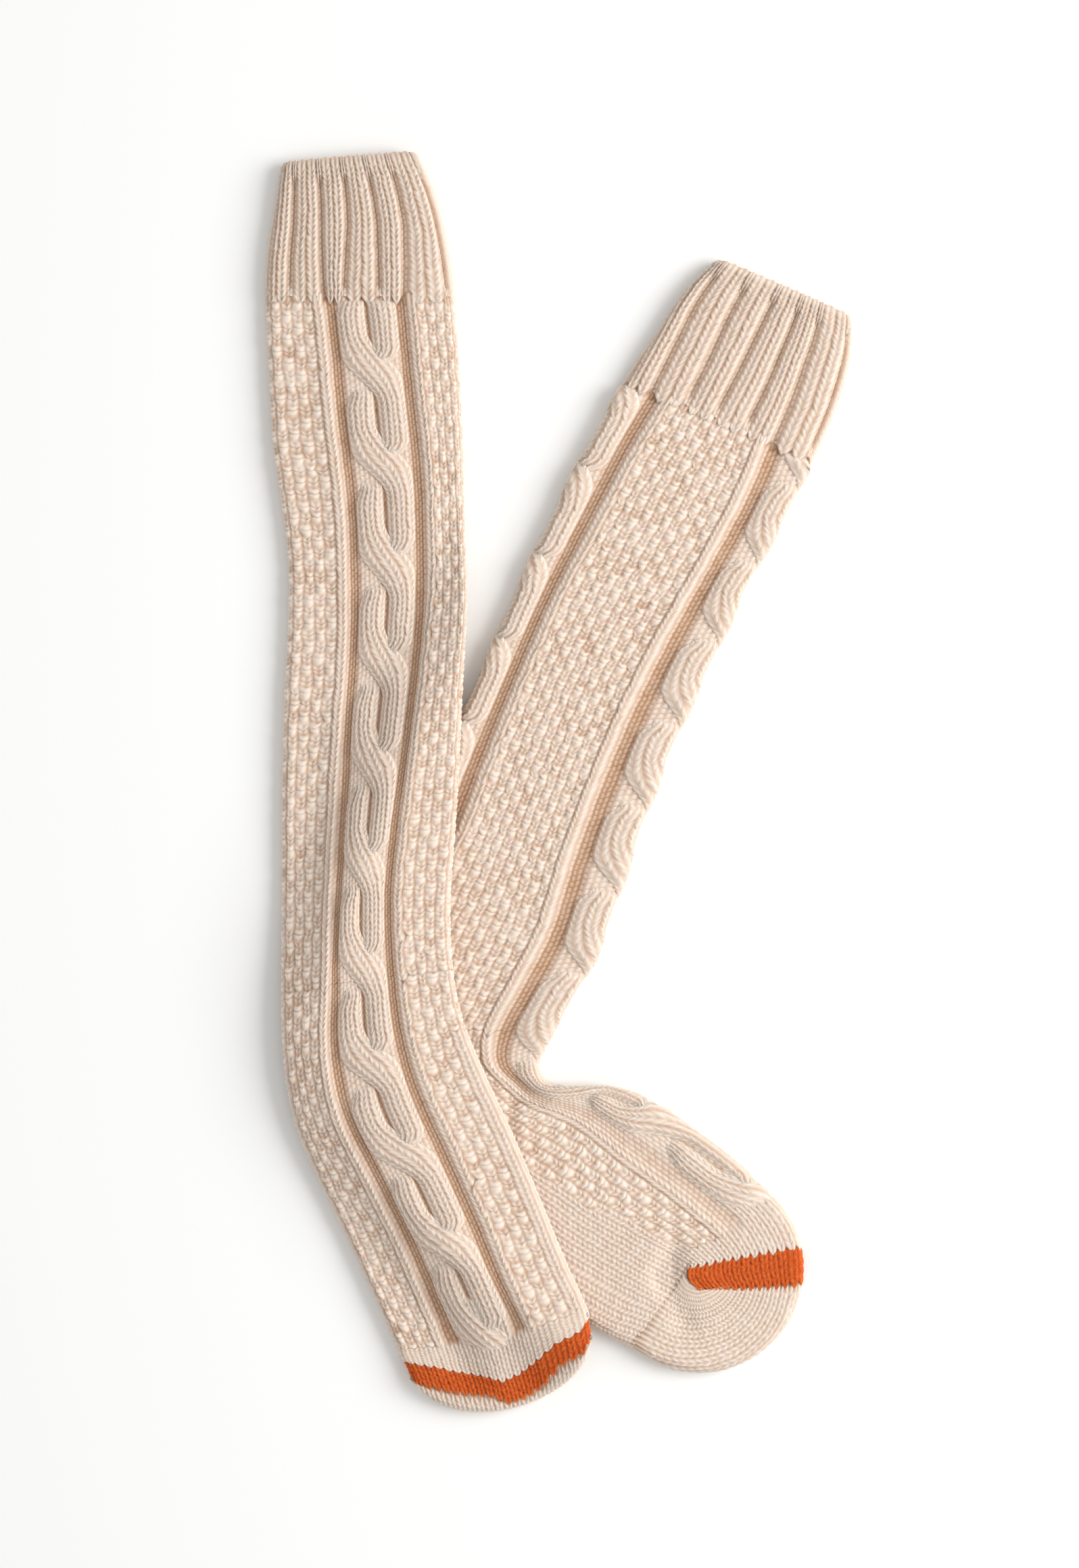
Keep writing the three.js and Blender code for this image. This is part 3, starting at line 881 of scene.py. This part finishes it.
def stripeShell(sock):
    # The orange rows across the top panel, between the foot and the toe.
    first, last = (rowOf(sock, s) for s in sock["stripe"])
    start, end = sock["stripeWales"]
    wales, rows = end - start, last - first
    kinds = np.full((wales, rows), plain)
    u, v = stitchGrid(kinds, False, (True, True))
    if sock is lowerSock:
        blunt = stripePlan["blunt"] * (1 - smoothStep(u, *stripePlan["bluntWales"]))
        blunt = blunt * smoothStep(v, rows - 1.5, rows)
        v = v - blunt * np.maximum(v - rowNumbers(rows), 0)
    sides = 1 - smoothStep(u, 0, 1) * smoothStep(wales - u, 0, 1)
    relief = stitchHeights(kinds, False) + stripePlan["sideLift"] * sides
    relief = relief + stripePlan["tipLift"] * smoothStep(v, rows - 0.3, rows + 0.7)
    return openShell(sock, lambda u, v: tubePlace(sock, start + u, first + v), u, v, relief)


cablePlan = {
    "strandWales": 3,
    "every": 16,  # rows from one strand's coming up to the other's
    "strandEdges": (0.08, 3.4),  # wales from the cable's centre to the two sides of a strand
    # Rows after a strand shows at which its sides cross over to the right, and at which it goes under.
    "leftCrosses": (9.5, 17.5),
    "rightCrosses": (5.5, 13.5),
    "goesBack": 24.0,
    "goesUnder": (25.2, 28.2),
    "narrowing": 0.8,  # how much further in its left side starts, in wales
    "narrowedOver": (-0.5, 3),  # rows from where it shows, over which that fades
    "risesOver": (-2.2, 1.2),  # rows over which it comes up again
    "endRows": 1.5,  # rows over which it sinks at its two ends
    "toeEndRows": 3,
    "lean": 0.75,  # how much its rows turn with its crossing
    "leansOver": (0.5, 3),
    "stitchShare": 0.85,
    # Heights from the knitting round it.
    "dome": 3.2,
    "foot": -1.9,
    "bulge": 0.6,
    "hidden": -2.2,
    "under": -2.9,
}


def strandShell(sock, centre, first, last, shift):
    # One strand of a cable: three wales of knit that cross over to the right, then back under.
    wales, rows = cablePlan["strandWales"], last - first
    kinds = np.full((wales, rows), knit)
    u, v = stitchGrid(kinds, False)
    every = cablePlan["every"]
    off = u / wales - 0.5
    inside, outside = cablePlan["strandEdges"]

    def edgesOf(row):
        phase = (np.interp(row + first, *sock["crossings"]) * every - shift) % (2 * every)
        back = smoothStep(phase, cablePlan["goesBack"], 2 * every - 1.5)
        leftOver = smoothStep(phase, *cablePlan["leftCrosses"]) - back
        rightOver = smoothStep(phase, *cablePlan["rightCrosses"]) - back
        fromShown = np.minimum(phase, 2 * every - phase)
        tuck = cablePlan["narrowing"] * (1 - smoothStep(fromShown, *cablePlan["narrowedOver"]))
        left = (inside + outside) * leftOver - outside + tuck
        return phase, left, (inside + outside) * rightOver - inside

    def spotAt(u, v):
        _, left, right = edgesOf(v)
        return tubePlace(sock, centre + left + (right - left) * u / wales, first + v)

    phase, left, right = edgesOf(v)
    showing = phase < cablePlan["goesUnder"][1]
    lean = (sum(edgesOf(v + 0.5)[1:]) - sum(edgesOf(v - 0.5)[1:])) / 2 * showing
    lean = lean * np.clip(np.minimum(v, rows - v) / 3, 0, 1) * smoothStep(phase, *cablePlan["leansOver"])
    ratio = (clothForm["waleWidth"] / clothForm["rowHeight"]) ** 2
    v = v - cablePlan["lean"] * off * wales * lean * ratio
    phase, left, right = edgesOf(v)
    crossing = np.sin(np.pi * smoothStep(phase, cablePlan["rightCrosses"][0], cablePlan["leftCrosses"][1]))
    sunk = smoothStep(phase, *cablePlan["goesUnder"])
    begins, full = cablePlan["risesOver"]
    sunk = np.where(phase < every, 1 - smoothStep(phase, begins, full), sunk)
    sunk = np.where(phase > 2 * every + begins, 1 - smoothStep(phase - 2 * every, begins, full), sunk)
    endRows = cablePlan["endRows"]
    lastRows = cablePlan["toeEndRows"] if centre == halfTube else endRows
    ends = np.minimum(smoothStep(v, 0, endRows), smoothStep(rows - v, 0, lastRows))
    sunk = np.maximum(sunk, 1 - ends)
    base = surfaceAt(spotAt, u, v)
    dome = cablePlan["dome"] * (1 - np.abs(2 * off) ** 3)
    raised = cablePlan["foot"] + dome + cablePlan["bulge"] * crossing
    form = raised * (1 - sunk) + cablePlan["hidden"] * sunk
    stitches = stitchHeights(kinds, False) * cablePlan["stitchShare"] * (1 - 0.6 * sunk)
    outer = dress(sock, base, form + stitches)
    inner = base["place"] + base["normal"] * (cablePlan["under"] - clothForm["sink"])
    inner[..., 2] = np.maximum(inner[..., 2], base["rest"] + 0.5 * clothForm["floorGap"])
    # Where a strand sinks below the knitting round it, it gets painted shade as a gutter does.
    return shellOf(outer, inner[::grain, ::grain], marksOf(stitches, np.minimum(form, 0)), False)


def cableShells(sock, centre, first, last):
    # The two strands of a cable, the second half a turn after the first.
    return [strandShell(sock, centre, first, last, shift) for shift in (0, cablePlan["every"])]


cuffPlan = {
    "wales": 42,
    "ribWales": 3,  # a gutter and two knit wales
    "rows": 24,
    "bandRows": 3.2,  # plain rows at the rim
    "gutterDepth": -2.35,
    "gutterPaintedShade": 0.6,  # how much painted shade the gutters get, as in a hollow
    "gutterSides": (0.15, 0.75),  # wales from its middle between which a gutter's wall rises
    "ribHeight": 0.45,
    "ribSides": (0.6, 1.4),
    "rimDrop": 0.9,  # how far in the rim bends
    "rimReach": 0.9,  # how far out its roll stands, as a share of the roll's radius
    "rimBumps": 0.35,
}


def cuffShell(sock):
    # Fourteen ribs of two knit wales with a gutter between, and a plain band at the rim.
    wales, rows, ribWales = cuffPlan["wales"], cuffPlan["rows"], cuffPlan["ribWales"]
    ribs = wales // ribWales
    kinds = np.full((wales, rows), knit)
    row = np.arange(rows)
    for wale in range(0, wales, ribWales):
        kinds[wale][row >= cuffPlan["bandRows"]] = purl
    u, v = stitchGrid(kinds, True, (False, True))
    gutters = np.array(sock["gutters"], float)

    def spotAt(u, v):
        t = np.where(v < rows, v / rows * sock["cuffEnd"], sectionOf(sock, v - rows))
        top = [np.interp(t, gutters[:, 0], column / 2) for column in gutters.T[1:]]
        steps = ribs + 1 - len(top)
        under = [top[-1] + (top[0] + 1 - top[-1]) * k / steps for k in range(1, steps)]
        places = np.stack(top + under + [top[0] + 1])
        unit = (u - 0.5) / ribWales
        k = np.floor(unit).astype(int)
        part = np.interp((unit - k) * ribWales, [0, 0.5, 1.5, 2.5, 3], [0, 0.1, 0.5, 0.9, 1])
        k = k % ribs
        here = np.take_along_axis(places, k[None], 0)[0]
        following = np.take_along_axis(places, k[None] + 1, 0)[0]
        return ringPlace(sock, t, here + (following - here) * part)

    unit = (u - 0.5) / ribWales
    base = surfaceAt(spotAt, u, v)
    fromGutter = np.minimum(unit - np.floor(unit), 1 - (unit - np.floor(unit))) * ribWales
    depth = cuffPlan["gutterDepth"] * (1 - smoothStep(fromGutter, *cuffPlan["gutterSides"]))
    height = cuffPlan["ribHeight"] * smoothStep(fromGutter, *cuffPlan["ribSides"])
    isOpen = np.isin(np.round(unit).astype(int) % ribs, sock["openGutters"])
    fade = smoothStep(v, cuffPlan["bandRows"] - 0.9, cuffPlan["bandRows"] + 0.9)
    fade = fade * np.where(isOpen, 1, smoothStep(rows - v, 0, 2.2))
    stitches, lift = stitchHeights(kinds, True), (depth + height) * fade
    relief = stitches + lift - 0.2 * smoothStep(v, rows - 1.5, rows + 0.5)
    rimward = np.clip(1 - v, 0, 1)
    outer, inner = dress(sock, base, relief - cuffPlan["rimDrop"] * rimward**2), innerOf(base)
    normal = base["normal"]
    # The rim rolls over to the inside.
    ahead = base["place"][0] - base["place"][grain]
    ahead /= np.linalg.norm(ahead, axis=-1, keepdims=True)
    radius = (clothForm["innerDepth"] - clothForm["sink"]) / 2 - 0.4
    roll = []
    for k in range(grain, 0, -1):
        angle = k / grain * np.pi
        reach = radius * cuffPlan["rimReach"] * np.sin(angle)
        move = normal[0] * (-radius * (1 - np.cos(angle))) + ahead * reach
        bump = cuffPlan["rimBumps"] * np.sin(angle) * np.cos(2 * np.pi * u[0])[:, None]
        roll.append(outer[0] + move - ahead * bump)
    outer = np.vstack([np.array(roll), outer])
    outer[..., 2] = np.maximum(outer[..., 2], clothForm["floorGap"])
    inner = np.vstack([(base["place"][0] - normal[0] * (2 * radius + 0.5))[None, ::grain], inner])
    stitches, lift = (np.vstack([np.repeat(a[:1], grain, 0), a]) for a in (stitches, lift))
    # The gutters get painted shade from their depth.
    return shellOf(outer, inner, marksOf(stitches, cuffPlan["gutterPaintedShade"] * lift), True)


def sweepPlace(start, edge, end, along, halfRise):
    # A place on the way from start, on one panel, round the outline at edge and on to end on the other.
    # along is 0 to 1; halfRise limits the thickness near the sides.
    out, back = distance(start, edge), distance(edge, end)
    height = middle * halfRise
    radius = np.minimum(middle, 0.92 * np.minimum(out, back)) * halfRise
    arc = np.pi / 2 * (radius + height) / 2
    whole = out - radius + 2 * arc + back - radius
    s = along * whole
    angle = np.clip((s - (out - radius)) / np.maximum(arc, 1e-9), 0, 2) * np.pi / 2
    leaving = np.where(s < out - radius, s, out - radius + radius * np.sin(angle))
    past = np.maximum(s - (out - radius + 2 * arc), 0)
    arriving = past - radius * np.sin(angle) + radius
    firstHalf = angle <= np.pi / 2
    plan = np.where(
        firstHalf[..., None],
        blend(start, edge, leaving / np.maximum(out, 1e-9)),
        blend(edge, end, arriving / np.maximum(back, 1e-9)),
    )
    rise = np.abs(np.cos(angle)) * halfRise
    return plan, rise, firstHalf


def lowerCup(sock):
    # Rows sweep from the end of the sole round the toe to the stripe's lower edge.
    rows = sock["cupRows"]
    kinds = np.full((halfTube, rows), plain)
    u, v = stitchGrid(kinds, False)
    # Its ends and sides are tucked under what it meets; near the pole the rows are closer together.
    underSole = 1 - smoothStep(v, *joinPlan["atSole"])
    closeness = np.clip(0.2 * (halfTube - u), 0.12, 1)
    underStripe = 1 - smoothStep((rows - v) * closeness, *joinPlan["atStripe"])
    v = v + joinPlan["tuckRows"] * (underStripe * (rows - v < 2) - underSole)
    besides = 1 - smoothStep(u, *joinPlan["atSides"]) * smoothStep(halfTube - u, *joinPlan["atSides"])
    outward = np.where(u < halfTube / 2, -1, 1) * smoothStep(rows - v, *joinPlan["nearPole"])
    u = u + joinPlan["tuckWales"] * besides * outward
    tucked = np.maximum(np.maximum(underStripe, besides), 0.6 * underSole)
    stripeStart, stripeEnd = sock["stripe"]
    last = len(sock["left"]) - 1
    rightTurn = np.pi - (sock["rightEdge"][-1][1] - last) * toeTurn
    # The way round the outline, from the stripe's right end to the sole's, with two points beyond each.
    beside = np.r_[np.linspace(last, stripeStart, 12)[1:], stripeStart - 0.3, stripeStart - 0.6]
    turns = np.r_[rightTurn + 0.2, rightTurn + 0.1, np.linspace(rightTurn, 0, 80)]
    path = np.vstack([toeOutline(sock, turns), outlineEdge(sock, beside, "left")])
    length = np.r_[0, np.cumsum(distance(path[:-1], path[1:]))]
    length -= length[2]

    def shareOf(wales, t):
        # A wale's place as a share of the way from the pole on top round the edge to the one below.
        edge = 0.5 if t == stripeEnd else 0.0
        near, far = (lanesAt(sock, np.array([w]), np.array([t]))[0] for w in (leftWale, rightWale))
        q = lanesAt(sock, wales, np.full(wales.shape, t)) % 1
        turned = 1.0 if edge == 0 else edge
        below = (q - turned) / (far - turned)
        return np.where(q <= 0.5, 0.5 * (q - near) / (edge - near), 0.5 + 0.5 * below)

    def spotAt(u, v):
        turn = 1 - v / rows
        pole = kneesAt(sock, stripeEnd - (stripeEnd - stripeStart) * turn)[0]
        edge = np.stack([np.interp(turn * length[-3], length, path[:, c]) for c in (0, 1)], -1)
        begins, ends = shareOf(rightWale - u, stripeEnd), shareOf(u - leftWale, stripeStart)
        share = begins * (1 - turn) + ends * turn
        plan, rise, top = sweepPlace(pole, edge, pole, share, np.ones(u.shape))
        return settle(sock, plan, 0 * rise, rise, top, rounded=False)

    return openShell(sock, spotAt, u, v, stitchHeights(kinds, False) - joinPlan["toeTuck"] * tucked)


def upperCup(sock):
    # Wales run from the stripe's lower edge over the front of the toe and back along the underside.
    rows = sock["cupRows"]
    kinds = np.full((halfTube, rows), plain)
    u, v = stitchGrid(kinds, False, (True, False))
    tucked = 1 - smoothStep(v, *joinPlan["atUpperStripe"])
    within = smoothStep(u, *joinPlan["atUpperSides"]) * smoothStep(halfTube - u, *joinPlan["atUpperSides"])
    v = v - joinPlan["tuckRows"] * tucked * within
    tucked = np.maximum(tucked, 1 - within)
    firstAngle = (sock["stripe"][1] - (len(sock["left"]) - 1)) * toeTurn

    def spotAt(u, v):
        stripeEnd = np.full(u.shape, sock["stripe"][1])
        start = ringPlace(sock, stripeEnd, np.clip(u, 0, halfTube) / tubeWales)["place"][..., :2]
        left, right = edgesAt(sock, np.full(u.shape, sock["stripe"][0]))
        width = distance(left, right)
        a, halfRise = placeAcross(np.clip(u / halfTube, 0, 1), width)
        # Beside the stripe the sides of this piece turn in under it.
        inset = joinPlan["sideInset"]
        end = blend(left, right, np.clip(a, inset, width - inset) / width)
        halfRise = np.maximum(halfRise, joinPlan["sideRise"] * smoothStep(v / rows, 0.1, 0.4))
        edge = toeOutline(sock, np.arccos(np.cos(firstAngle) * (1 - 2 * a / width)))
        plan, rise, top = sweepPlace(start, edge, end, v / rows, halfRise)
        return settle(sock, plan, 2 * a / width - 1, rise, top, rounded=False)

    return openShell(sock, spotAt, u, v, stitchHeights(kinds, False) - joinPlan["toeTuck"] * tucked)


woolLook = {
    "cream": {
        "pale": (0.90, 0.80, 0.71),
        "warm": (0.89, 0.75, 0.62),
        "pink": (0.87, 0.71, 0.65),
        # colour of the painted shade in the hollows, gutters and inside
        "paintedShade": (0.50, 0.27, 0.14),
        "sheen": 0.2,
    },
    "orange": {
        "pale": (0.82, 0.18, 0.034),
        "warm": (0.67, 0.107, 0.020),
        "pink": (0.50, 0.070, 0.020),
        # colour of the painted shade in the hollows, gutters and inside
        "paintedShade": (0.28, 0.030, 0.010),
        "sheen": 0.15,
    },
}

yarnFinish = {
    "roughness": 0.92,
    "specular": 0.15,
    "softness": 0.5,  # share of the light that passes through the yarn
    "softDepth": 0.0009,
    "softColour": (1.0, 0.8, 0.66),
    "sheenRoughness": 0.6,
    # Scale, where larger is finer, detail, and the two values between which the flecks come in.
    "warmFlecks": (900, 3, 0.38, 0.66),
    "pinkFlecks": (640, 2, 0.55, 0.75),
    "toneRange": (0.2, 3.2),
    # marks between which the painted shade comes in
    "paintedShadeRange": (0.05, 1.0),
    "fibres": (1700, 4),
    "fibreHeight": 0.0004,
    "fibreStrength": 0.5,
}


def woolMaterial(name, look):
    # Heathered yarn, with painted shade in the hollows between stitches, in the gutters and on the inside
    # of the cloth.
    material = bpy.data.materials.new(name)
    material.use_nodes = True
    nodes, links = material.node_tree.nodes, material.node_tree.links
    shader = nodes["Principled BSDF"]
    shader.inputs["Roughness"].default_value = yarnFinish["roughness"]
    shader.inputs["Specular IOR Level"].default_value = yarnFinish["specular"]
    shader.inputs["Subsurface Weight"].default_value = yarnFinish["softness"]
    shader.inputs["Subsurface Radius"].default_value = yarnFinish["softColour"]
    shader.inputs["Subsurface Scale"].default_value = yarnFinish["softDepth"]
    shader.inputs["Sheen Weight"].default_value = look["sheen"]
    shader.inputs["Sheen Roughness"].default_value = yarnFinish["sheenRoughness"]
    shader.inputs["Sheen Tint"].default_value = (*look["pale"], 1)
    place = nodes.new("ShaderNodeTexCoord").outputs["Object"]

    def noise(scale, detail):
        node = nodes.new("ShaderNodeTexNoise")
        node.inputs["Scale"].default_value = scale
        node.inputs["Detail"].default_value = detail
        links.new(place, node.inputs["Vector"])
        return node.outputs["Fac"]

    def ramp(value, low, high):
        node = nodes.new("ShaderNodeMapRange")
        node.inputs["From Min"].default_value = low
        node.inputs["From Max"].default_value = high
        links.new(value, node.inputs["Value"])
        return node.outputs["Result"]

    def flecks(scale, detail, low, high):
        return ramp(noise(scale, detail), low, high)

    def mix(share, first, second):
        node = nodes.new("ShaderNodeMix")
        node.data_type = "RGBA"
        links.new(share, node.inputs["Factor"])
        for socket, colour in ((node.inputs["A"], first), (node.inputs["B"], second)):
            if isinstance(colour, tuple):
                socket.default_value = (*colour, 1)
            else:
                links.new(colour, socket)
        return node.outputs["Result"]

    def mark(name):
        node = nodes.new("ShaderNodeAttribute")
        node.attribute_name = name
        return node.outputs["Fac"]

    base = mix(flecks(*yarnFinish["warmFlecks"]), look["pale"], look["warm"])
    base = mix(flecks(*yarnFinish["pinkFlecks"]), base, look["pink"])
    base = mix(ramp(mark("tone"), *yarnFinish["toneRange"]), base, look["warm"])
    # Painted shade mixed in where the painted-shade mark is high.
    colour = mix(ramp(mark("paintedShade"), *yarnFinish["paintedShadeRange"]), base, look["paintedShade"])
    links.new(colour, shader.inputs["Base Color"])
    bump = nodes.new("ShaderNodeBump")
    bump.inputs["Strength"].default_value = yarnFinish["fibreStrength"]
    bump.inputs["Distance"].default_value = yarnFinish["fibreHeight"]
    links.new(noise(*yarnFinish["fibres"]), bump.inputs["Height"])
    links.new(bump.outputs["Normal"], shader.inputs["Normal"])
    return material


materials = {name: woolMaterial(name + "_wool", look) for name, look in woolLook.items()}
print("wool materials made")


def addPiece(name, shells, wool, node=None):
    piece = makePiece(name, shells)
    piece.data.materials.append(materials[wool])
    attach(piece, "root")
    if node:
        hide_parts(node)
    print(name, sum(len(p.vertices) - 2 for p in piece.data.polygons), "triangles")
    return piece


for sock in (lowerSock, upperSock):
    name = sock["name"]
    surface = tubeSurface(sock)
    legRows, tubeRows = rowOf(sock, sock["legEnd"]), rowOf(sock, sock["stripe"][0])
    footRows, backRows = tubeRows - legRows, rowOf(sock, sock["backCableTo"])
    cup = lowerCup(sock) if sock is lowerSock else upperCup(sock)
    cuff = addPiece(name + "_cuff_knit", [cuffShell(sock)], "cream", name + "_cuff")
    leg = addPiece(name + "_leg_knit", [sliceOf(surface, 0, legRows)], "cream", name + "_leg")
    foot = addPiece(name + "_foot_knit", [sliceOf(surface, legRows, tubeRows)], "cream", name + "_foot")
    front = addPiece(name + "_front_cable", cableShells(sock, halfTube, 0, tubeRows - 4), "cream")
    back = addPiece(name + "_back_cable", cableShells(sock, 0, 0, backRows), "cream")
    stripe = addPiece(name + "_toe_stripe_knit", [stripeShell(sock)], "orange", name + "_toe_stripe")
    toe = addPiece(name + "_toe_knit", [cup], "cream", name + "_foot")

view = {
    "x": -8.35,
    "y": -0.35,
    "height": 1900,
    "frameHeight": 680,  # how much of the floor is in view, at half the height of the socks
    "halfHeight": 9,
    "sensor": 36,
}

camera = bpy.data.objects.new("camera", bpy.data.cameras.new("camera"))
bpy.context.collection.objects.link(camera)
camera.location = (view["x"] * mm, view["y"] * mm, view["height"] * mm)
camera.data.sensor_fit = "VERTICAL"
camera.data.sensor_height = view["sensor"]
camera.data.lens = view["sensor"] * (view["height"] - view["halfHeight"]) / view["frameHeight"]
camera.data.clip_start = 0.01
bpy.context.scene.camera = camera

lightPlan = {
    "keyFrom": (1.7, 0.15, 1.25),
    "keySize": 1.5,
    "keyPower": 41,
    "fill": 0.62,
    "floor": (0.97, 0.97, 0.955),
    "floorReach": 4,
}

floorMesh = bpy.data.meshes.new("floor")
r = lightPlan["floorReach"]
floorMesh.from_pydata([(-r, -r, 0), (r, -r, 0), (r, r, 0), (-r, r, 0)], [], [(0, 1, 2, 3)])
floor = bpy.data.objects.new("floor", floorMesh)
bpy.context.collection.objects.link(floor)
paper = bpy.data.materials.new("paper")
paper.use_nodes = True
paper.node_tree.nodes["Principled BSDF"].inputs["Base Color"].default_value = (*lightPlan["floor"], 1)
paper.node_tree.nodes["Principled BSDF"].inputs["Roughness"].default_value = 1
floorMesh.materials.append(paper)

key = bpy.data.objects.new("key", bpy.data.lights.new("key", "AREA"))
key.data.energy = lightPlan["keyPower"]
key.data.size = lightPlan["keySize"]
key.location = lightPlan["keyFrom"]
x, y, z = lightPlan["keyFrom"]
key.rotation_euler = (math.atan2(math.hypot(x, y), z), 0, math.atan2(y, x) + math.pi / 2)
bpy.context.collection.objects.link(key)
world = bpy.data.worlds.new("room")
bpy.context.scene.world = world
world.use_nodes = True
world.node_tree.nodes["Background"].inputs["Color"].default_value = (1, 1, 1, 1)
world.node_tree.nodes["Background"].inputs["Strength"].default_value = lightPlan["fill"]
bpy.context.scene.view_settings.view_transform = "Standard"
print("camera, light and floor set")
